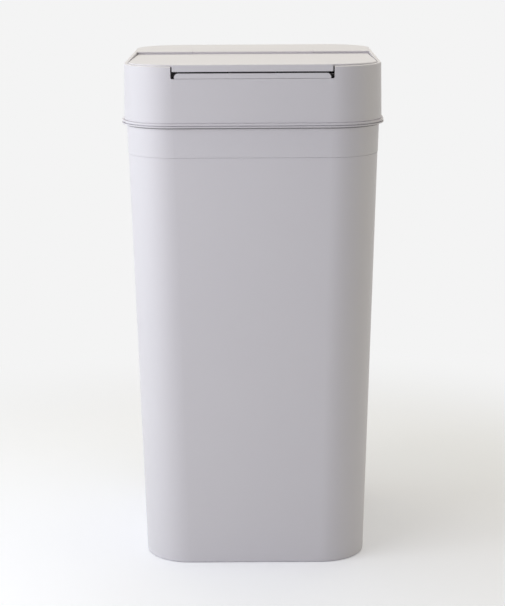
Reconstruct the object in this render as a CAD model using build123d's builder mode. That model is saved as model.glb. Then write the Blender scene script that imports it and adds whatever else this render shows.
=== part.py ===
from build123d import *
from math import cos, radians, sin
import os

# Sealed kitchen bin: a tapered pail, a collar that lifts off it, and a rear-hinged lid that a
# push tab at the front lets go. Millimetres, front towards -Y, origin on the floor under the
# middle of the collar.

# Collar: the upright frame round the lid
collar_w = 262.0
collar_d = 295.0
corner_r = 51.0
rim_z = 527.0
collar_h = 59.4
collar_wall = 2.6
collar_draft = 0.9
rim_edge_r = 1.2
rim_lip = 1.0
foot_out = 2.7
foot_h = 2.8
foot_groove = 0.9
parting_h = 1.0
parting_depth = 2.2

# Pail
base_w = 234.0
base_d = 265.4
base_r = 47.6
base_edge_r = 1.8
pail_wall = 2.2
pail_floor = 2.6
base_recess = 2.0
base_ring_w = 13.0
pail_floor_edge = 6.0
mouth_inset = 1.65
pail_rim_out = 3.0
pail_rim_h = 1.2
rim_groove_h = 1.7
rim_groove_depth = 1.0
step_drop = 30.6
step_depth = 0.35
step_groove = 0.5

# Deck behind the lid, and the ledge below it that carries the throat frame
deck_d = 104.0
deck_t = 2.4
deck_wall = 2.4
deck_edge_t = 0.9
deck_undercut = 1.5
ledge_drop = 23.5

# Lid: heights are from the collar's rim
lid_gap = 0.7
lid_rear_gap = 0.9
lid_rear_drop = 2.7
lid_front_rise = 1.9
lid_t = 2.2
lid_skirt_drop = 10.7
lid_edge = 0.5
lip_h = 7.0
lip_set_back = 0.1
lip_end_gap = 1.4
lip_shoulder = 0.3
notch_in = 49.5
notch_h = 12.2
notch_corner_r = 1.5

# Lid hinge: distances are from the deck's front edge and from the knuckle's ends
hinge_back = 9.9
hinge_drop = 4.0
knuckle_in = 65.0
knuckle_r = 7.7
knuckle_wall = 2.2
knuckle_end = 24.0
knuckle_rib_t = 1.8
knuckle_gap = 0.35
arm_drop = 2.0
trough_gap = 0.6
trough_wall = 2.2
trough_lip = 1.5
cheek_t = 3.3
hinge_pin_r = 1.5
hinge_pin_hold = 21.0
hinge_pin_reach = 6.0

# Throat frame inside the collar
throat_side_in = 19.0
throat_front_in = 25.5
throat_back_in = 15.5
throat_r = 30.0
throat_wall = 2.2
throat_drop = 13.0
throat_skirt = 17.5
ledge_t = 2.4
ledge_gap = 0.4

# Collar's spigot, which goes inside the mouth of the pail
spigot_gap = 0.45
spigot_wall = 2.0
spigot_reach = 12.6
spigot_taper = 0.5
web_rise = 4.8
web_t = 2.4
seal_gap = 0.3

# Liner and gasket under the lid
liner_drop = 8.0
liner_t = 2.0
liner_gap = 0.5
liner_front_in = 16.0
liner_spot_in = 19.0
gasket_w = 5.6
gasket_gap = 0.3
gasket_fit = 0.1
channel_wall = 1.5
channel_lift = 0.6

# Push-tab latch: distances in from the collar's front, and heights from its pivot
pivot_in = 6.0
pivot_drop = 16.5
tab_top_gap = 1.7
tab_end_gap = 3.5
tab_lift = 0.3
tab_corner_r = 4.0
tab_t = 2.4
shelf_t = 1.8
leg_in = 3.2
leg_t = 1.6
barrel_gap = 1.0
barrel_r = 2.8
latch_pin_r = 1.25
latch_pin_hold = 7.5
ear_gap = 1.0
ear_t = 3.0
ear_h = 2.8
catch_in = 31.5
arm_half = 7.0
arm_in = 10.8
arm_t = 1.8
arm_h = 11.5
nose_in = 7.6
nose_bottom_h = 9.3
nose_top_h = 10.2
seat_drop = 2.0
seat_t = 1.8
spring_in = 11.5
spring_r = 1.8
spring_wire_r = 0.3
spring_turns = 3
wire_sides = 5
spring_peg_r = 1.1
spring_peg_h = 1.6

# Catches under the lip: distances in from the collar's front
catch_half = 26.0
catch_front_in = 5.5
catch_wall = 1.8
catch_top_gap = 0.5
pad_drop = 7.8
pad_t = 2.0
pad_w = 13.0
pad_back_in = 13.7
claw_half = 8.0
claw_drop = 2.0
claw_tip_in = 9.1
claw_tip_low = 1.0
claw_tip_high = 2.1
catch_screw_x = 19.5
catch_screw_in = 10.3

# Screws and their bosses
screw_head_r = 2.7
screw_head_h = 1.6
screw_shank_r = 1.25
shank_sides = 8
screw_length = 9.0
short_screw_length = 5.2
screw_tip_gap = 0.6
cross_w = 0.8
cross_l = 3.0
cross_depth = 0.9
pilot_r = 1.3
clear_r = 1.55
boss_r = 4.0
boss_h = 16.0
boss_in = 9.6
boss_reach = 8.6
boss_front_in = 87.5
boss_back_in = 9.5
boss_turn = 64.4
small_boss_r = 3.0
gusset_t = 1.8
pin_fit = 0.05

# Sizes that follow
sides = (-1, 1)
named_sides = (("left", -1), ("right", 1))
span = 2 * collar_d
seat_z = rim_z - collar_h
foot_top = seat_z + foot_h
mouth_z = seat_z - pail_rim_h
mouth_w = collar_w - 2 * mouth_inset
mouth_d = collar_d - 2 * mouth_inset
mouth_r = corner_r - mouth_inset
step_z = mouth_z - step_drop
inner_half = collar_w / 2 - collar_wall
rim_wall = collar_wall + rim_lip
lid_reach = rim_wall + lid_gap
front_y = -collar_d / 2
deck_front = collar_d / 2 - deck_d
deck_under = rim_z - deck_t
ledge_top = rim_z - ledge_drop
lid_rear = deck_front - lid_rear_gap
lid_rear_z = rim_z - lid_rear_drop
lid_front_z = rim_z + lid_front_rise
lid_skirt_z = rim_z - lid_skirt_drop
lip_front = front_y + lip_set_back
lip_bottom = lid_front_z - lip_h
notch_half = collar_w / 2 - notch_in
notch_z = rim_z - notch_h
lip_half = notch_half - lip_end_gap
hinge_y = deck_front + hinge_back
hinge_z = rim_z - hinge_drop
knuckle_half = collar_w / 2 - knuckle_in
knuckle_core = knuckle_half - knuckle_end
hinge_pin_in = knuckle_half - hinge_pin_hold
hinge_pin_out = knuckle_half + hinge_pin_reach
arm_bottom = hinge_z - arm_drop
trough_r = knuckle_r + trough_gap
trough_half = knuckle_half + knuckle_gap
throat_w = collar_w - 2 * throat_side_in
throat_front = front_y + throat_front_in
throat_back = deck_front - throat_back_in
throat_y = (throat_front + throat_back) / 2
throat_d = throat_back - throat_front
throat_top = rim_z - throat_drop
throat_bottom = ledge_top - throat_skirt
web_top = seat_z + web_rise
spigot_bottom = seat_z - spigot_reach
spigot_out = -(mouth_inset + pail_wall + spigot_gap)
liner_top = rim_z - liner_drop
liner_bottom = liner_top - liner_t
gasket_bottom = throat_top + gasket_gap
pivot_y = front_y + pivot_in
pivot_z = rim_z - pivot_drop
tab_half = notch_half - tab_end_gap
tab_top = lip_bottom - tab_top_gap
tab_bottom = notch_z + tab_lift
leg_back = front_y + leg_in + leg_t
barrel_half = tab_half - barrel_gap
latch_pin_in = barrel_half - latch_pin_hold
ear_in = tab_half + ear_gap
ear_out = ear_in + ear_t
catch_x = notch_half - catch_in
spring_y = front_y + spring_in
seat_bottom = pivot_z - seat_drop
pad_bottom = rim_z - pad_drop
pad_top = pad_bottom + pad_t

os.makedirs("parts", exist_ok=True)


def save(piece, name):
    """Label a finished piece and write it under its own name."""
    piece.part.label = name
    export_step(piece.part, f"parts/{name}.step")


def plan(width, depth, radius, z, y=0.0):
    """Rounded rectangle lying flat at height z."""
    with BuildSketch(Plane.XY.offset(z)) as flat:
        with Locations((0, y)):
            RectangleRounded(width, depth, radius)
    return flat.sketch


def ring(width, depth, radius, wall, z, y=0.0):
    """Closed band, as wide as the wall, just inside a rounded rectangle."""
    with BuildSketch(Plane.XY.offset(z)) as flat:
        with Locations((0, y)):
            RectangleRounded(width, depth, radius)
            RectangleRounded(width - 2 * wall, depth - 2 * wall, radius - wall, mode=Mode.SUBTRACT)
    return flat.sketch


def collar_plan(out, z):
    """Outline of the collar at the rim, moved outward by out."""
    return plan(collar_w + 2 * out, collar_d + 2 * out, corner_r + out, z)


def collar_band(out, wall, z):
    """Closed band just inside the outline that collar_plan gives."""
    return ring(collar_w + 2 * out, collar_d + 2 * out, corner_r + out, wall, z)


def throat_band(grow, wall, z):
    """Closed band just inside the throat's opening moved outward by grow."""
    return ring(throat_w + 2 * grow, throat_d + 2 * grow, throat_r + grow, wall, z, throat_y)


def pail_size(z, inset):
    """Width, depth and corner radius of the pail at height z, moved inward by inset."""
    rise = z / mouth_z
    width = base_w + rise * (mouth_w - base_w)
    depth = base_d + rise * (mouth_d - base_d)
    radius = base_r + rise * (mouth_r - base_r)
    return width - 2 * inset, depth - 2 * inset, radius - inset


def pail_plan(z, inset):
    """Outline of the pail at height z, moved inward by inset."""
    return plan(*pail_size(z, inset), z)


def side_profile(points, x=0.0):
    """Closed outline in the side view, from (y, z) corners, standing at x."""
    with BuildSketch(Plane.YZ.offset(x)) as profile:
        with BuildLine():
            Polyline(*points, close=True)
        make_face()
    return profile.sketch


def lid_top_z(y):
    """Height of the lid's top face, which rises from the deck to the lip."""
    return lid_rear_z + (lid_front_z - lid_rear_z) * (lid_rear - y) / (lid_rear - lip_front)


def lid_plan(inset, z):
    """Outline of the lid with its lip, moved inward by inset."""
    reach = lid_reach + inset
    rear = lid_rear - inset
    front = lip_front + inset
    with BuildSketch(Plane.XY.offset(z)) as flat:
        RectangleRounded(collar_w - 2 * reach, collar_d - 2 * reach, corner_r - reach)
        with Locations((0, rear)):
            Rectangle(span, span, align=(Align.CENTER, Align.MIN), mode=Mode.SUBTRACT)
        with Locations((0, front)):
            Rectangle(2 * (lip_half - inset), -front, align=(Align.CENTER, Align.MIN))
    return flat.sketch


def deck_undercut_box():
    """Groove under the deck's front edge, which leaves the edge thin and the face below it in shade."""
    with BuildPart() as groove:
        with Locations((0, deck_front, rim_z - deck_edge_t)):
            Box(2 * inner_half, 2 * deck_undercut, lid_rear_drop - deck_edge_t,
                align=(Align.CENTER, Align.CENTER, Align.MAX))
    return groove.part


def pan_screw(length):
    """Pan-head screw that points down, with the seat of its head at the origin."""
    with BuildPart() as made:
        Cylinder(screw_head_r, screw_head_h, align=(Align.CENTER, Align.CENTER, Align.MIN))
        with Locations((0, 0, screw_head_h)):
            Box(cross_l, cross_w, 2 * cross_depth, mode=Mode.SUBTRACT)
            Box(cross_w, cross_l, 2 * cross_depth, mode=Mode.SUBTRACT)
        with BuildSketch():
            RegularPolygon(screw_shank_r, shank_sides)
        extrude(amount=-length)
    return made.part


# Pail

with BuildPart() as pail_space:
    loft([pail_plan(base_recess + pail_floor, pail_wall), pail_plan(mouth_z, pail_wall)], ruled=True)
    chamfer(pail_space.faces().sort_by(Axis.Z)[0].edges(), length=pail_floor_edge)
    extrude(pail_plan(mouth_z, pail_wall), amount=2 * pail_rim_h)

with BuildPart() as body:
    loft([pail_plan(0, 0), pail_plan(step_z, step_depth)], ruled=True)
    fillet(body.faces().sort_by(Axis.Z)[0].edges(), radius=base_edge_r)
    loft([pail_plan(step_z, 0), pail_plan(mouth_z, 0)], ruled=True)
    extrude(collar_plan(pail_rim_out, mouth_z), amount=pail_rim_h)
    # groove that sets the rim off from the wall
    extrude(collar_band(pail_rim_out, pail_rim_out + mouth_inset + rim_groove_depth, mouth_z - rim_groove_h),
            amount=rim_groove_h, mode=Mode.SUBTRACT)
    # fine groove where the wall steps in
    extrude(ring(*pail_size(step_z, 0), step_depth + step_groove, step_z - step_groove),
            amount=step_groove, mode=Mode.SUBTRACT)
    add(pail_space.part, mode=Mode.SUBTRACT)
    extrude(pail_plan(0, base_ring_w), amount=base_recess, mode=Mode.SUBTRACT)
save(body, "body")

# Collar

boss_spots = []
for side, outward in ((1, 0.0), (-1, 180.0)):
    for y in (front_y + boss_front_in, deck_front - boss_back_in):
        boss_spots.append((side * (collar_w / 2 - boss_in), y, outward))
    corner_reach = corner_r - boss_in
    boss_spots.append((side * (collar_w / 2 - corner_r + corner_reach * cos(radians(boss_turn))),
                       front_y + corner_r - corner_reach * sin(radians(boss_turn)),
                       outward - side * boss_turn))
screw_spots = [(x, y, ledge_top) for x, y, turn in boss_spots]

with BuildPart() as trough:
    with Locations(Location((0, hinge_y, hinge_z), (0, 90, 0))):
        Cylinder(trough_r + trough_wall, 2 * (trough_half + cheek_t))
    with Locations((0, deck_front, deck_under)):
        Box(span, span, span, align=(Align.CENTER, Align.MIN, Align.MAX), mode=Mode.INTERSECT)

with BuildPart() as collar:
    loft([collar_plan(collar_draft, seat_z), collar_plan(0, rim_z)], ruled=True)
    fillet(collar.faces().sort_by(Axis.Z)[-1].edges(), radius=rim_edge_r)
    extrude(collar_plan(foot_out, seat_z), amount=foot_h)
    # groove above the foot, and the parting line between the foot and the pail's rim
    extrude(collar_band(foot_out, foot_out - collar_draft + foot_groove, foot_top),
            amount=foot_groove, mode=Mode.SUBTRACT)
    extrude(collar_band(foot_out, parting_depth, seat_z), amount=parting_h, mode=Mode.SUBTRACT)
    loft([collar_plan(collar_draft - collar_wall, seat_z), collar_plan(-collar_wall, deck_under)],
         ruled=True, mode=Mode.SUBTRACT)
    # opening for the lid, ahead of the deck
    with BuildSketch(Plane.XY.offset(deck_under)):
        RectangleRounded(collar_w - 2 * rim_wall, collar_d - 2 * rim_wall, corner_r - rim_wall)
        with Locations((0, deck_front)):
            Rectangle(span, span, align=(Align.CENTER, Align.MIN), mode=Mode.SUBTRACT)
    extrude(amount=2 * deck_t, mode=Mode.SUBTRACT)
    # wall that closes the deck's front edge and the trough the hinge turns in
    with Locations((0, deck_front, ledge_top)):
        Box(2 * inner_half + collar_wall, deck_wall, deck_under - ledge_top,
            align=(Align.CENTER, Align.MIN, Align.MIN))
    add(trough.part)
    with Locations(Location((0, hinge_y, hinge_z), (0, 90, 0))):
        Cylinder(trough_r, 2 * trough_half, mode=Mode.SUBTRACT)
        Cylinder(hinge_pin_r + pin_fit, 2 * hinge_pin_out, mode=Mode.SUBTRACT)
    with Locations((0, hinge_y, arm_bottom - trough_lip)):
        Box(2 * trough_half, 2 * hinge_back, span,
            align=(Align.CENTER, Align.MAX, Align.MIN), mode=Mode.SUBTRACT)
    add(deck_undercut_box(), mode=Mode.SUBTRACT)
    # notch for the lip and the push tab
    with BuildSketch(Plane.XZ.offset(-front_y + collar_wall)):
        with Locations((0, notch_z)):
            RectangleRounded(2 * notch_half, 2 * notch_h, notch_corner_r, align=(Align.CENTER, Align.MIN))
    extrude(amount=-3 * collar_wall, mode=Mode.SUBTRACT)
    # spigot and the web that carries it, with the gasket's channel between web and pail
    loft([collar_plan(spigot_out - spigot_taper, spigot_bottom), collar_plan(spigot_out, web_top)],
         ruled=True)
    loft([collar_plan(spigot_out - spigot_taper - spigot_wall, spigot_bottom),
          collar_plan(spigot_out - spigot_wall, web_top)], ruled=True, mode=Mode.SUBTRACT)
    extrude(collar_band(0, spigot_wall - spigot_out, web_top - web_t), amount=web_t)
    # screw bosses under the throat frame
    for x, y, turn in boss_spots:
        with Locations(Location((x, y, ledge_top - ledge_t), (0, 0, turn))):
            Cylinder(boss_r, boss_h, align=(Align.CENTER, Align.CENTER, Align.MAX))
            Box(boss_reach, gusset_t, boss_h, align=(Align.MIN, Align.CENTER, Align.MAX))
    with Locations(*screw_spots):
        Cylinder(pilot_r, screw_length, align=(Align.CENTER, Align.CENTER, Align.MAX), mode=Mode.SUBTRACT)
save(collar, "collar")

with BuildPart() as collar_gasket:
    seal_in = -spigot_out - spigot_taper / 2
    seal_w = seal_in - mouth_inset - seal_gap
    extrude(collar_band(seal_w - seal_in, seal_w, seat_z), amount=web_rise - web_t)
save(collar_gasket, "collar_gasket")

# Throat frame

ledge_out = ledge_gap + collar_wall - collar_draft * ledge_drop / collar_h

with BuildPart() as throat_frame:
    with BuildSketch(Plane.XY.offset(ledge_top - ledge_t)):
        RectangleRounded(collar_w - 2 * ledge_out, collar_d - 2 * ledge_out, corner_r - ledge_out)
        with Locations((0, deck_front + deck_wall)):
            Rectangle(span, span, align=(Align.CENTER, Align.MIN), mode=Mode.SUBTRACT)
    extrude(amount=ledge_t)
    extrude(plan(throat_w + 2 * throat_wall, throat_d + 2 * throat_wall, throat_r + throat_wall,
                 throat_bottom, throat_y), amount=throat_top - throat_bottom)
    extrude(plan(throat_w, throat_d, throat_r, throat_bottom, throat_y),
            amount=throat_top - throat_bottom, mode=Mode.SUBTRACT)
    chamfer(throat_frame.faces().sort_by(Axis.Z)[-1].edges(), length=throat_wall / 4)
    # ears for the latch's pivot pins, and pegs inside its springs
    for side in sides:
        with Locations((side * (ear_in + ear_out) / 2, pivot_y, ledge_top)):
            Box(ear_t, 2 * ear_h, pivot_z + ear_h - ledge_top, align=(Align.CENTER, Align.CENTER, Align.MIN))
        with Locations((side * catch_x, spring_y, ledge_top)):
            Cylinder(spring_peg_r, spring_peg_h, align=(Align.CENTER, Align.CENTER, Align.MIN))
    with Locations(Location((0, pivot_y, pivot_z), (0, 90, 0))):
        Cylinder(latch_pin_r + pin_fit, span, mode=Mode.SUBTRACT)
    with Locations(*screw_spots):
        Hole(clear_r)
save(throat_frame, "throat_frame")

with BuildPart() as frame_screws:
    with Locations(*screw_spots):
        add(pan_screw(screw_length))
save(frame_screws, "frame_screws")

# Latch

with BuildPart() as latch_bar:
    with BuildSketch(Plane.XZ.offset(-lip_front)):
        with Locations((0, (tab_top + tab_bottom) / 2)):
            Rectangle(2 * tab_half, tab_top - tab_bottom)
    extrude(amount=-tab_t)
    fillet(latch_bar.edges().filter_by(Axis.Y).group_by(Axis.Z)[-1], radius=tab_corner_r)
    with Locations((0, lip_front, tab_bottom)):
        Box(2 * tab_half, leg_back - lip_front, shelf_t, align=(Align.CENTER, Align.MIN, Align.MIN))
    with Locations((0, leg_back, pivot_z)):
        Box(2 * barrel_half, leg_t, tab_bottom - pivot_z + shelf_t,
            align=(Align.CENTER, Align.MAX, Align.MIN))
    with Locations(Location((0, pivot_y, pivot_z), (0, 90, 0))):
        Cylinder(barrel_r, 2 * barrel_half)
    # spring seats, arms and noses behind the pivot
    arm_front = front_y + arm_in
    arm_back = arm_front + arm_t
    nose_tip = front_y + nose_in
    for side in sides:
        extrude(side_profile([(pivot_y, seat_bottom), (arm_back, seat_bottom),
                              (arm_back, pivot_z + arm_h), (arm_front, pivot_z + arm_h),
                              (nose_tip, pivot_z + nose_top_h), (nose_tip, pivot_z + nose_bottom_h),
                              (arm_front, pivot_z + nose_bottom_h), (arm_front, seat_bottom + seat_t),
                              (pivot_y, seat_bottom + seat_t)], side * catch_x - arm_half),
                amount=2 * arm_half)
    for side in sides:
        with Locations(Location((side * barrel_half, pivot_y, pivot_z), (0, 90, 0))):
            Cylinder(latch_pin_r + pin_fit, 2 * (ear_in - latch_pin_in), mode=Mode.SUBTRACT)
save(latch_bar, "latch_bar")

for name, side in named_sides:
    with BuildPart() as latch_pin:
        with Locations(Location((side * (latch_pin_in + ear_out) / 2, pivot_y, pivot_z), (0, 90, 0))):
            Cylinder(latch_pin_r, ear_out - latch_pin_in)
        chamfer(latch_pin.edges().filter_by(GeomType.CIRCLE), length=latch_pin_r / 5)
    save(latch_pin, f"latch_pin_{name}")

for name, side in named_sides:
    with BuildPart() as latch_spring:
        coil_h = seat_bottom - ledge_top - 2 * spring_wire_r
        coil_foot = (side * catch_x, spring_y, ledge_top + spring_wire_r)
        with BuildLine() as coil:
            Helix(coil_h / spring_turns, coil_h, spring_r, center=coil_foot)
        with BuildSketch(Plane(origin=coil.line @ 0, z_dir=coil.line % 0)):
            RegularPolygon(spring_wire_r, wire_sides)
        sweep()
    save(latch_spring, f"latch_spring_{name}")

# Lid

with BuildPart() as lid_space:
    inner_front = lip_front + lid_t
    extrude(side_profile([(inner_front, lid_skirt_z), (lid_rear, lid_skirt_z),
                          (lid_rear, lid_top_z(lid_rear) - lid_t),
                          (inner_front, lid_top_z(inner_front) - lid_t)]),
            amount=collar_w / 2, both=True)
    extrude(lid_plan(lid_t, lid_skirt_z), amount=rim_z - lid_skirt_z, mode=Mode.INTERSECT)

with BuildPart() as knuckle:
    # barrel and arm, flush with the deck on top
    with Locations(Location((0, hinge_y, hinge_z), (0, 90, 0))):
        Cylinder(knuckle_r, 2 * knuckle_half)
    with Locations((0, deck_front, arm_bottom)):
        Box(2 * knuckle_half, hinge_back, knuckle_r, align=(Align.CENTER, Align.MIN, Align.MIN))
    with Locations((0, lid_rear - lid_t, arm_bottom)):
        Box(2 * knuckle_half, hinge_y - lid_rear, lid_rear_z - arm_bottom,
            align=(Align.CENTER, Align.MIN, Align.MIN))
    with Locations((0, 0, rim_z)):
        Box(span, span, span, align=(Align.CENTER, Align.CENTER, Align.MAX), mode=Mode.INTERSECT)
    add(deck_undercut_box(), mode=Mode.SUBTRACT)

with BuildPart() as knuckle_space:
    # hollow of the barrel, open below, with ribs left standing across it
    with Locations(Location((0, hinge_y, hinge_z), (0, 90, 0))):
        Cylinder(knuckle_r - knuckle_wall, 2 * knuckle_core)
    with Locations((0, hinge_y, rim_z - knuckle_wall)):
        Box(span, knuckle_r, span, align=(Align.CENTER, Align.CENTER, Align.MAX), mode=Mode.INTERSECT)
    with Locations((0, hinge_y, hinge_z)):
        Box(2 * knuckle_core, knuckle_r, 2 * knuckle_r, align=(Align.CENTER, Align.CENTER, Align.MAX))
    with Locations((0, hinge_y, hinge_z)):
        with GridLocations(knuckle_core / 2, 1, 3, 1):
            Box(knuckle_rib_t, span, span, mode=Mode.SUBTRACT)

spot_x = throat_w / 2 - liner_spot_in
spot_y = throat_d / 2 - liner_spot_in
liner_spots = [(column * spot_x, throat_y + row * spot_y) for row in (-1, 0, 1) for column in (-1, 0, 1)
               if (row, column) != (0, 0)]
catch_spots = [(side * catch_x + end * catch_screw_x, front_y + catch_screw_in)
               for side in sides for end in sides]

with BuildPart() as lid_panel:
    extrude(side_profile([(lip_front, lid_skirt_z), (lid_rear, lid_skirt_z),
                          (lid_rear, lid_rear_z), (lip_front, lid_front_z)]),
            amount=collar_w / 2, both=True)
    extrude(lid_plan(0, lid_skirt_z), amount=lid_front_z - lid_skirt_z, mode=Mode.INTERSECT)
    top_face = lid_panel.faces().filter_by(lambda f: f.normal_at().Z > 0.99).sort_by(SortBy.AREA)[-1]
    chamfer(top_face.edges(), length=lid_edge)
    add(lid_space.part, mode=Mode.SUBTRACT)
    # room for the latch under the lip
    with Locations((0, lip_front, lip_bottom)):
        Box(2 * lip_half, 3 * lid_t, span, align=(Align.CENTER, Align.MIN, Align.MAX), mode=Mode.SUBTRACT)
    for side in sides:
        with Locations((side * (lip_half + lid_t), lip_front, lid_top_z(lip_front) - lid_t - lip_shoulder)):
            Box(2 * lid_t, 3 * lid_t, span, align=(Align.CENTER, Align.MIN, Align.MAX), mode=Mode.SUBTRACT)
    add(knuckle.part)
    add(knuckle_space.part, mode=Mode.SUBTRACT)
    for side in sides:
        with Locations(Location((side * knuckle_half, hinge_y, hinge_z), (0, 90 * side, 0))):
            Cylinder(hinge_pin_r + pin_fit, 2 * (hinge_pin_hold + knuckle_gap), mode=Mode.SUBTRACT)
    # bosses for the liner and the catches
    for spots, foot, depth in ((liner_spots, liner_top, short_screw_length),
                               (catch_spots, pad_top, short_screw_length - pad_t)):
        for x, y in spots:
            with Locations((x, y, foot)):
                Cylinder(small_boss_r, lid_top_z(y) - lid_t / 2 - foot,
                         align=(Align.CENTER, Align.CENTER, Align.MIN))
                Cylinder(pilot_r, depth, align=(Align.CENTER, Align.CENTER, Align.MIN), mode=Mode.SUBTRACT)
save(lid_panel, "lid_panel")

for name, side in named_sides:
    with BuildPart() as hinge_pin:
        with Locations(Location((side * (hinge_pin_in + hinge_pin_out) / 2, hinge_y, hinge_z), (0, 90, 0))):
            Cylinder(hinge_pin_r, hinge_pin_out - hinge_pin_in)
        chamfer(hinge_pin.edges().filter_by(GeomType.CIRCLE), length=hinge_pin_r / 5)
    save(hinge_pin, f"hinge_pin_{name}")

# Liner, gasket and catches under the lid

with BuildPart() as lid_liner:
    inset = lid_t + liner_gap
    reach = lid_reach + inset
    with BuildSketch(Plane.XY.offset(liner_bottom)):
        RectangleRounded(collar_w - 2 * reach, collar_d - 2 * reach, corner_r - reach)
        with Locations((0, lid_rear - inset)):
            Rectangle(span, span, align=(Align.CENTER, Align.MIN), mode=Mode.SUBTRACT)
        with Locations((0, front_y + liner_front_in)):
            Rectangle(span, span, align=(Align.CENTER, Align.MAX), mode=Mode.SUBTRACT)
    extrude(amount=liner_t)
    # two walls that hold the gasket over the throat's lip
    channel_out = (gasket_w - throat_wall) / 2 + gasket_fit
    wall_low = throat_top + channel_lift
    for grow in (throat_wall + channel_out + channel_wall, -channel_out):
        extrude(throat_band(grow, channel_wall, wall_low), amount=liner_bottom - wall_low)
    with Locations(*[(x, y, liner_bottom) for x, y in liner_spots]):
        Cylinder(clear_r, liner_t, align=(Align.CENTER, Align.CENTER, Align.MIN), mode=Mode.SUBTRACT)
save(lid_liner, "lid_liner")

with BuildPart() as lid_gasket:
    extrude(throat_band((throat_wall + gasket_w) / 2, gasket_w, gasket_bottom),
            amount=liner_bottom - gasket_bottom)
    chamfer(lid_gasket.faces().sort_by(Axis.Z)[0].edges(), length=gasket_w / 5)
save(lid_gasket, "lid_gasket")

with BuildPart() as liner_screws:
    with Locations(*[Location((x, y, liner_bottom), (180, 0, 0)) for x, y in liner_spots]):
        add(pan_screw(liner_t + short_screw_length - screw_tip_gap))
save(liner_screws, "liner_screws")

for name, side in named_sides:
    with BuildPart() as lid_catch:
        middle = side * catch_x
        front = front_y + catch_front_in
        back = front + catch_wall
        with Locations((middle, front, pad_bottom)):
            Box(2 * catch_half, catch_wall, lid_front_z - lid_t - catch_top_gap - pad_bottom,
                align=(Align.CENTER, Align.MIN, Align.MIN))
        for end in sides:
            with Locations((middle + end * (catch_half - pad_w / 2), front, pad_bottom)):
                Box(pad_w, pad_back_in - catch_front_in, pad_t, align=(Align.CENTER, Align.MIN, Align.MIN))
        claw_bottom = pad_bottom - claw_drop
        claw_tip = front_y + claw_tip_in
        extrude(side_profile([(front, claw_bottom), (back, claw_bottom),
                              (claw_tip, claw_bottom + claw_tip_low), (claw_tip, claw_bottom + claw_tip_high),
                              (back, claw_bottom + claw_tip_high), (back, pad_top), (front, pad_top)],
                             middle - claw_half), amount=2 * claw_half)
        with Locations(*[(middle + end * catch_screw_x, front_y + catch_screw_in, pad_bottom) for end in sides]):
            Cylinder(clear_r, pad_t, align=(Align.CENTER, Align.CENTER, Align.MIN), mode=Mode.SUBTRACT)
    save(lid_catch, f"lid_catch_{name}")

with BuildPart() as catch_screws:
    with Locations(*[Location((x, y, pad_bottom), (180, 0, 0)) for x, y in catch_spots]):
        add(pan_screw(short_screw_length - screw_tip_gap))
save(catch_screws, "catch_screws")
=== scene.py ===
# %% [markdown]
# A sealed kitchen bin, dressed for a studio picture. Every solid of the bin comes ready-made from
# its construction model, in metres and already in place, so this lesson is about finishes, light
# and camera. We load the solids first.

# %% Load the bin
import bpy
import math
from mathutils import Matrix, Vector


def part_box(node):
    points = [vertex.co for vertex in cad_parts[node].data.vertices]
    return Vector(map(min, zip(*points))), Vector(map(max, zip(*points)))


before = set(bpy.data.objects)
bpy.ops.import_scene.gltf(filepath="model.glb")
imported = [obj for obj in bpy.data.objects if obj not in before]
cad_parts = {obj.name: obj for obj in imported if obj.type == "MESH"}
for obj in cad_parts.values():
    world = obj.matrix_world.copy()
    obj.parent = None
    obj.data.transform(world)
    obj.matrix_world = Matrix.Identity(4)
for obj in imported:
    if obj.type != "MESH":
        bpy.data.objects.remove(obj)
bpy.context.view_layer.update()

# %% [markdown]
# Colours are written as sRGB hex values, the way a paint chart gives them. Blender's shaders work
# in linear light, so one function turns a hex value into a linear colour. Patterns are easiest to
# think of in millimetres, and the scene is in metres, so MM turns one into the other.

# %% Colour and length helpers
MM = 0.001


def linear(hex_value):
    """Linear RGBA from an sRGB hex value such as '#d8d7da'."""
    channels = [int(hex_value[i:i + 2], 16) / 255 for i in (1, 3, 5)]
    return [c / 12.92 if c <= 0.04045 else ((c + 0.055) / 1.055) ** 2.4 for c in channels] + [1.0]


print("mid grey in linear light:", [round(c, 3) for c in linear("#808080")])

# %% [markdown]
# A node material is a small graph. Building it by hand in the editor is quick, but in a script each
# node takes several lines, so one function adds a node, sets its values and plugs its links in. A
# socket goes by its name, or by its number on nodes whose sockets share a name.

# %% Node helper
def add_node(tree, kind, values=None, links=None, **settings):
    """Adds a shader node with its settings, its sockets' values and its incoming links."""
    made = tree.nodes.new(kind)
    for name, setting in settings.items():
        setattr(made, name, setting)
    for socket, value in (values or {}).items():
        made.inputs[socket].default_value = value
    for socket, source in (links or {}).items():
        tree.links.new(source, made.inputs[socket])
    return made


def new_material(name):
    """An empty node material and its tree."""
    material = bpy.data.materials.new(name)
    material.use_nodes = True
    material.node_tree.nodes.clear()
    return material, material.node_tree


# %% [markdown]
# The shell of the bin is injection-moulded polypropylene from a mould with a fine spark-eroded
# skin. Polypropylene has an index of refraction near 1.49, and the eroded skin spreads the
# highlight, so the eye gets a satin wall with no sharp reflections. A picture of such a skin could
# be wrapped round the wall, but a noise in the object's own coordinates needs no unwrapping and has
# no seam. The real grain is about a quarter of a millimetre, too fine for a picture in which one
# pixel is a whole millimetre, so it is drawn four times as coarse and kept shallow. A second, very
# broad noise shifts the colour by a hair, as pigment does in a thick wall.

# %% Moulded plastic
GRAIN_MM = 1.0
GRAIN_DEPTH_MM = 0.012
CLOUD_MM = 140.0
SKIN_DRIFT = 0.04
POLYPROPYLENE_IOR = 1.49


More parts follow.
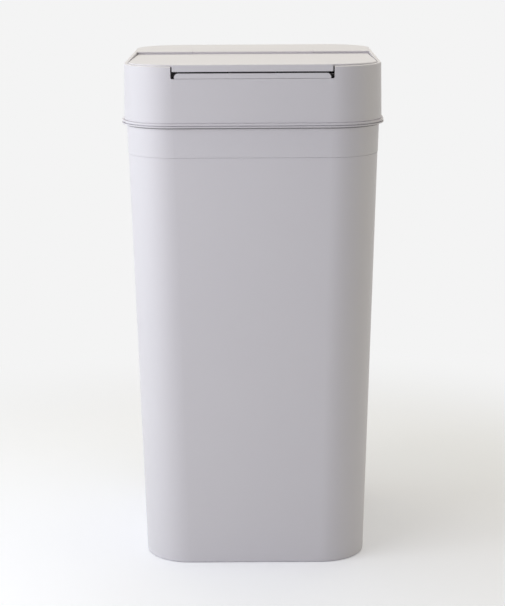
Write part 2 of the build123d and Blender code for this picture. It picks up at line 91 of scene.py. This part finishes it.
def moulded_plastic(name, light_hex, dark_hex, roughness, ior=POLYPROPYLENE_IOR):
    """Satin moulded plastic whose pigment drifts between two close colours."""
    material, tree = new_material(name)
    place = add_node(tree, "ShaderNodeTexCoord").outputs["Object"]
    cloud = add_node(tree, "ShaderNodeTexNoise",
                     {"Scale": 1 / (CLOUD_MM * MM), "Detail": 2.0, "Roughness": 0.5},
                     {"Vector": place})
    pigment = add_node(tree, "ShaderNodeMix",
                       {"A": linear(light_hex), "B": linear(dark_hex)},
                       {"Factor": cloud.outputs["Fac"]}, data_type="RGBA")
    grain = add_node(tree, "ShaderNodeTexNoise",
                     {"Scale": 1 / (GRAIN_MM * MM), "Detail": 3.0, "Roughness": 0.6},
                     {"Vector": place})
    skin = add_node(tree, "ShaderNodeMapRange",
                    {"To Min": roughness - SKIN_DRIFT, "To Max": roughness + SKIN_DRIFT},
                    {"Value": grain.outputs["Fac"]})
    bump = add_node(tree, "ShaderNodeBump", {"Strength": 0.5, "Distance": GRAIN_DEPTH_MM * MM},
                    {"Height": grain.outputs["Fac"]})
    shader = add_node(tree, "ShaderNodeBsdfPrincipled", {"IOR": ior},
                      {"Base Color": pigment.outputs["Result"],
                       "Roughness": skin.outputs["Result"],
                       "Normal": bump.outputs["Normal"]})
    add_node(tree, "ShaderNodeOutputMaterial", links={"Surface": shader.outputs["BSDF"]})
    return material


# %% [markdown]
# The bin needs four such plastics. The pail and the collar come out of two moulds, which seldom
# match exactly, and a pail that is paler by a hair came nearer to the picture. The frame and the
# liner under the lid can't be seen there, so their smoother finish is a guess, that of a plainer
# mould. The catches are black acetal, a slippery plastic for parts that hook. One function with
# other colours and roughness is enough for all of them.

# %% The bin's four plastics
satin_pp = moulded_plastic("satin moulded polypropylene", "#e6e3e7", "#e3e0e5", roughness=0.46)
pail_pp = moulded_plastic("satin moulded polypropylene of the pail", "#e9e6ea", "#e6e3e8",
                          roughness=0.46)
inner_pp = moulded_plastic("plain moulded polypropylene", "#dedcdd", "#dad8da", roughness=0.38)
acetal = moulded_plastic("black acetal", "#1b1b1d", "#17171a", roughness=0.34, ior=1.48)
print("plastics:", [plastic.name for plastic in (satin_pp, pail_pp, inner_pp, acetal)])

# %% [markdown]
# A narrow groove under the pail's rim sets the rim off from the wall. On the real bin it looks
# darker than its shape and this light make it, so shade is painted into the pail's colour there:
# the plastic is greyed in the groove as painted shade. Why isn't known, so a greyer plastic stands
# in for the cause. The groove's faces could be given a material of their own, but the solid's mesh
# stays as it came, so the pail's material finds the groove by itself: height picks the band, and
# the dot product of the surface normal with the position tells the outside of the pail from the
# inside, which isn't greyed. The band's height is worked out from the pail's top.

# %% Painted shade in the groove under the pail's rim
RIM_MM = 1.2
GROOVE_MM = 1.7
GROOVE_SHADE = 0.5


def painted_shade_band(material, bottom_mm, top_mm, shade):
    """Paints shade: multiplies the base colour by shade between two heights, on faces that look
    outward.
    """
    tree = material.node_tree
    shader = next(node for node in tree.nodes if node.type == "BSDF_PRINCIPLED")
    pigment = shader.inputs["Base Color"].links[0].from_socket
    place = add_node(tree, "ShaderNodeTexCoord").outputs["Object"]
    normal = add_node(tree, "ShaderNodeNewGeometry").outputs["Normal"]
    height = add_node(tree, "ShaderNodeSeparateXYZ", links={"Vector": place}).outputs["Z"]
    middle = (bottom_mm + top_mm) / 2 * MM
    reach = (top_mm - bottom_mm) / 2 * MM
    in_band = add_node(tree, "ShaderNodeMath", {1: middle, 2: reach}, {0: height},
                       operation="COMPARE").outputs["Value"]
    facing = add_node(tree, "ShaderNodeVectorMath", links={0: normal, 1: place},
                      operation="DOT_PRODUCT").outputs["Value"]
    outward = add_node(tree, "ShaderNodeMath", {1: 0.0}, {0: facing},
                       operation="GREATER_THAN").outputs["Value"]
    both = add_node(tree, "ShaderNodeMath", links={0: in_band, 1: outward},
                    operation="MULTIPLY").outputs["Value"]
    shaded = add_node(tree, "ShaderNodeMix", {"B": (shade, shade, shade, 1.0)},
                      {"Factor": both, "A": pigment}, data_type="RGBA", blend_type="MULTIPLY")
    tree.links.new(shaded.outputs["Result"], shader.inputs["Base Color"])


# Painted shade: the pail's colour is darkened in the band under its rim.
rim_under_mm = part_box("body")[1].z / MM - RIM_MM
painted_shade_band(pail_pp, rim_under_mm - GROOVE_MM, rim_under_mm, GROOVE_SHADE)
print("grey groove, mm:", round(rim_under_mm - GROOVE_MM, 2), "to", round(rim_under_mm, 2))

# %% [markdown]
# Two rings of grey silicone rubber seal the bin, one under the lid and one between collar and pail.
# Silicone is a little translucent and picks up a bloom of dust. Subsurface scattering could send
# light through it, but the rings are thin and lie in the shade, so a plain base colour with a touch
# of sheen for the bloom looks the same and renders faster. The bloom comes in patches a few
# millimetres wide, and there is no grain to speak of.

# %% Silicone seal
BLOOM_MM = 6.0
SILICONE_IOR = 1.41


def silicone(name, colour_hex):
    """Soft silicone with a dusty bloom."""
    material, tree = new_material(name)
    place = add_node(tree, "ShaderNodeTexCoord").outputs["Object"]
    bloom = add_node(tree, "ShaderNodeTexNoise", {"Scale": 1 / (BLOOM_MM * MM), "Detail": 3.0},
                     {"Vector": place})
    skin = add_node(tree, "ShaderNodeMapRange", {"To Min": 0.5, "To Max": 0.68},
                    {"Value": bloom.outputs["Fac"]})
    shader = add_node(tree, "ShaderNodeBsdfPrincipled",
                      {"Base Color": linear(colour_hex), "IOR": SILICONE_IOR, "Sheen Weight": 0.15},
                      {"Roughness": skin.outputs["Result"]})
    add_node(tree, "ShaderNodeOutputMaterial", links={"Surface": shader.outputs["BSDF"]})
    return material


grey_silicone = silicone("grey silicone seal", "#9c9ea1")
print("seal:", grey_silicone.name)

# %% [markdown]
# Screws, pins and coil springs start as drawn steel wire and are zinc-plated against rust. Drawing
# leaves fine lines along the wire. An anisotropic shader could stretch the highlight across them,
# but it needs a direction laid over every small piece, so here a noise stretched along X, the way
# that the pins lie, drives the roughness instead. The real lines are finer than a tenth of a
# millimetre. They are drawn at 0.4 mm, coarse enough to show when the pins are seen from close by.

# %% Drawn steel
LINE_MM = 0.4
LINE_STRETCH = 20


def drawn_steel(name, colour_hex):
    """Bright steel with the fine lines of wire drawing."""
    material, tree = new_material(name)
    place = add_node(tree, "ShaderNodeTexCoord").outputs["Object"]
    along = add_node(tree, "ShaderNodeMapping", {"Scale": (1 / LINE_STRETCH, 1.0, 1.0)},
                     {"Vector": place})
    lines = add_node(tree, "ShaderNodeTexNoise", {"Scale": 1 / (LINE_MM * MM), "Detail": 2.0},
                     {"Vector": along.outputs["Vector"]})
    skin = add_node(tree, "ShaderNodeMapRange", {"To Min": 0.22, "To Max": 0.42},
                    {"Value": lines.outputs["Fac"]})
    shader = add_node(tree, "ShaderNodeBsdfPrincipled",
                      {"Base Color": linear(colour_hex), "Metallic": 1.0},
                      {"Roughness": skin.outputs["Result"]})
    add_node(tree, "ShaderNodeOutputMaterial", links={"Surface": shader.outputs["BSDF"]})
    return material


bright_steel = drawn_steel("drawn zinc-plated steel", "#c9cbcf")
print("metal:", bright_steel.name)

# %% [markdown]
# Each solid has its shape already, so it keeps its mesh and only its finish changes. The finish
# could be chosen by a search through the names, but a table from finish to pieces can be read at a
# glance. Every solid comes with a material slot, and the new finish goes into it.

# %% Give every piece its finish
finishes = {
    satin_pp: ["collar", "lid_panel", "latch_bar"],
    pail_pp: ["body"],
    inner_pp: ["throat_frame", "lid_liner"],
    acetal: ["lid_catch_left", "lid_catch_right"],
    grey_silicone: ["collar_gasket", "lid_gasket"],
    bright_steel: ["frame_screws", "liner_screws", "catch_screws", "latch_pin_left",
                   "latch_pin_right", "latch_spring_left", "latch_spring_right",
                   "hinge_pin_left", "hinge_pin_right"],
}
for finish, names in finishes.items():
    for name in names:
        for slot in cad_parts[name].material_slots:
            slot.material = finish
    print(finish.name, "on", len(names), "pieces")

# %% [markdown]
# A studio picture wants a pale backdrop, but a backdrop that bright would flood the bin with light.
# The Light Path node sets the two apart. Rays from the camera, and rays that a shiny or clear
# surface sends on, see the pale backdrop. Rays that only gather soft light meet something dimmer.

# %% Which rays see the backdrop
def seeing_rays(tree):
    """A value that is 1 for camera, glossy and transmitted rays and 0 for all others."""
    path = add_node(tree, "ShaderNodeLightPath")
    sees = path.outputs["Is Camera Ray"]
    for kind in ("Is Glossy Ray", "Is Transmission Ray"):
        sees = add_node(tree, "ShaderNodeMath", links={0: sees, 1: path.outputs[kind]},
                        operation="MAXIMUM").outputs["Value"]
    return sees


# %% [markdown]
# The floor is a large pale sheet. A studio would hang paper in a curve behind the bin, but such a
# curve is in the way once the camera goes round to the back. A flat sheet works from every side if
# it fades into the backdrop's own colour further out, so that no horizon shows. Close to the bin
# the camera sees it lit, with the contact shadow, and a weak glow lifts that part to the pale tone
# of paper. Rays that gather light meet a plain, greyer sheet without the glow.

# %% Floor material
FADE_START_M = 0.34
FADE_END_M = 0.78
FLOOR_GLOW = 0.155
BACKDROP = linear("#f4f4f4")


def pale_floor(seen_hex, bounced_hex):
    """Matte floor that the camera sees paler than bounced light does, fading out with distance."""
    material, tree = new_material("pale matte floor")
    lit = add_node(tree, "ShaderNodeBsdfDiffuse", {"Color": linear(seen_hex)})
    glow = add_node(tree, "ShaderNodeEmission", {"Color": linear("#ffffff"), "Strength": FLOOR_GLOW})
    near = add_node(tree, "ShaderNodeAddShader",
                    links={0: lit.outputs["BSDF"], 1: glow.outputs["Emission"]})
    far = add_node(tree, "ShaderNodeEmission", {"Color": BACKDROP, "Strength": 1.0})
    place = add_node(tree, "ShaderNodeTexCoord").outputs["Object"]
    distance = add_node(tree, "ShaderNodeVectorMath", links={0: place}, operation="LENGTH")
    fade = add_node(tree, "ShaderNodeMapRange", {"From Min": FADE_START_M, "From Max": FADE_END_M},
                    {"Value": distance.outputs["Value"]}, interpolation_type="SMOOTHSTEP")
    seen = add_node(tree, "ShaderNodeMixShader",
                    links={0: fade.outputs["Result"], 1: near.outputs["Shader"],
                           2: far.outputs["Emission"]})
    bounced = add_node(tree, "ShaderNodeBsdfDiffuse", {"Color": linear(bounced_hex)})
    pick = add_node(tree, "ShaderNodeMixShader",
                    links={0: seeing_rays(tree), 1: bounced.outputs["BSDF"],
                           2: seen.outputs["Shader"]})
    add_node(tree, "ShaderNodeOutputMaterial", links={"Surface": pick.outputs["Shader"]})
    return material


# %% [markdown]
# The sheet itself is one square face, far wider than the fade, built straight from its corners.

# %% Floor
FLOOR_HALF_M = 6.0

corners = [(-FLOOR_HALF_M, -FLOOR_HALF_M, 0), (FLOOR_HALF_M, -FLOOR_HALF_M, 0),
           (FLOOR_HALF_M, FLOOR_HALF_M, 0), (-FLOOR_HALF_M, FLOOR_HALF_M, 0)]
floor_mesh = bpy.data.meshes.new("floor")
floor_mesh.from_pydata(corners, [], [(0, 1, 2, 3)])
floor_mesh.materials.append(pale_floor("#f4f5fa", "#d2d2d4"))
floor = bpy.data.objects.new("floor", floor_mesh)
bpy.context.collection.objects.link(floor)
print("floor, metres across:", 2 * FLOOR_HALF_M)

# %% [markdown]
# The world could be a photographed sky, but a plain colour gives the even fill of a white studio
# and needs no file. The world gives that fill at a level of its own, and shows the pale backdrop to
# the rays that see it. A strength of 1 shows the backdrop's colour as it is.

# %% World
FILL_LEVEL = 0.31

world = bpy.data.worlds.new("studio")
bpy.context.scene.world = world
world.use_nodes = True
sky = world.node_tree
sky.nodes.clear()
fill = add_node(sky, "ShaderNodeBackground", {"Color": linear("#fafaff"), "Strength": FILL_LEVEL})
backdrop = add_node(sky, "ShaderNodeBackground", {"Color": BACKDROP, "Strength": 1.0})
pick = add_node(sky, "ShaderNodeMixShader",
                links={0: seeing_rays(sky), 1: fill.outputs["Background"],
                       2: backdrop.outputs["Background"]})
add_node(sky, "ShaderNodeOutputWorld", links={"Surface": pick.outputs["Shader"]})
print("fill level:", FILL_LEVEL)

# %% [markdown]
# A softbox is a lamp behind a wide white cloth. A point lamp would throw hard shadows, so each one
# is a square area lamp, turned to face the middle of the bin. A lamp of power P gives a white
# surface that faces it from distance d a brightness of P / (pi * pi * d * d), so the power follows
# from the level that we want on the bin.

# %% Softbox
BIN_MIDDLE = Vector((0, 0, 0.27))


def softbox(name, direction, distance, size, level, colour_hex):
    """Square area lamp that lights the bin's middle to a level, from a direction."""
    lamp = bpy.data.lights.new(name, "AREA")
    lamp.shape = "SQUARE"
    lamp.size = size
    lamp.energy = level * math.pi ** 2 * distance ** 2
    lamp.color = linear(colour_hex)[:3]
    holder = bpy.data.objects.new(name, lamp)
    away = Vector(direction).normalized()
    holder.location = BIN_MIDDLE + away * distance
    holder.rotation_euler = away.to_track_quat("Z", "Y").to_euler()
    bpy.context.collection.objects.link(holder)
    print(name, "power:", round(lamp.energy, 1))


# %% [markdown]
# Four softboxes stand round the bin: a large one overhead for the lid, one like a window on the
# left, a third in front on the left, and a weak one on the right. They make the left corner the
# brightest part of the wall, which then darkens steadily towards the right corner. One broad light
# from the front would be simpler, but it would flatten the rounded corners. Levels and tints were
# fitted, not measured in the studio: each lamp was rendered alone, a least-squares fit mixed them
# to come near the picture's tones on the bin, and a few more trials adjusted them.

# %% Four softboxes
softbox("ceiling softbox", (0.0, 0.15, 1.0), distance=2.0, size=2.0, level=0.50,
        colour_hex="#fff8dd")
softbox("window softbox", (-1.0, -0.1, 0.3), distance=1.6, size=1.4, level=0.285,
        colour_hex="#f3fffe")
softbox("left front softbox", (-0.75, -0.65, 0.35), distance=1.0, size=0.8, level=0.375,
        colour_hex="#f7f7ff")
softbox("right softbox", (1.0, 0.0, 0.08), distance=1.6, size=1.0, level=0.09,
        colour_hex="#fff4bc")

# %% [markdown]
# The picture was taken from just above the lid with a long lens. The camera could be moved by hand
# until the picture looks right, but its place, tilt and focal length were found from the bin's own
# outlines instead: how much the rim converges and how fast the walls draw in. That gives a focal
# length in pixels, and the height of the picture and of the sensor turn it into millimetres.
# Blender's camera looks along its own -Z, so it is rolled by a hair, tipped up by a right angle
# less the tilt, then turned. The Standard view transform shows colours as they are written.

# %% Camera
FOCAL_PX = 1719.4
IMAGE_HEIGHT_PX = 606
SENSOR_MM = 36.0
CAMERA_PLACE_M = (0.00540, -1.85961, 0.67405)
TILT = math.radians(12.742)
TURN = math.radians(-0.2235)
ROLL = math.radians(-0.3323)

optics = bpy.data.cameras.new("camera")
optics.sensor_fit = "VERTICAL"
optics.sensor_height = SENSOR_MM
optics.lens = FOCAL_PX * SENSOR_MM / IMAGE_HEIGHT_PX
camera = bpy.data.objects.new("camera", optics)
aim = (Matrix.Rotation(-TURN, 4, "Z") @ Matrix.Rotation(math.pi / 2 - TILT, 4, "X")
       @ Matrix.Rotation(ROLL, 4, "Z"))
camera.matrix_world = Matrix.Translation(CAMERA_PLACE_M) @ aim
bpy.context.collection.objects.link(camera)
bpy.context.scene.camera = camera
bpy.context.scene.view_settings.view_transform = "Standard"
print("focal length, mm:", round(optics.lens, 1))
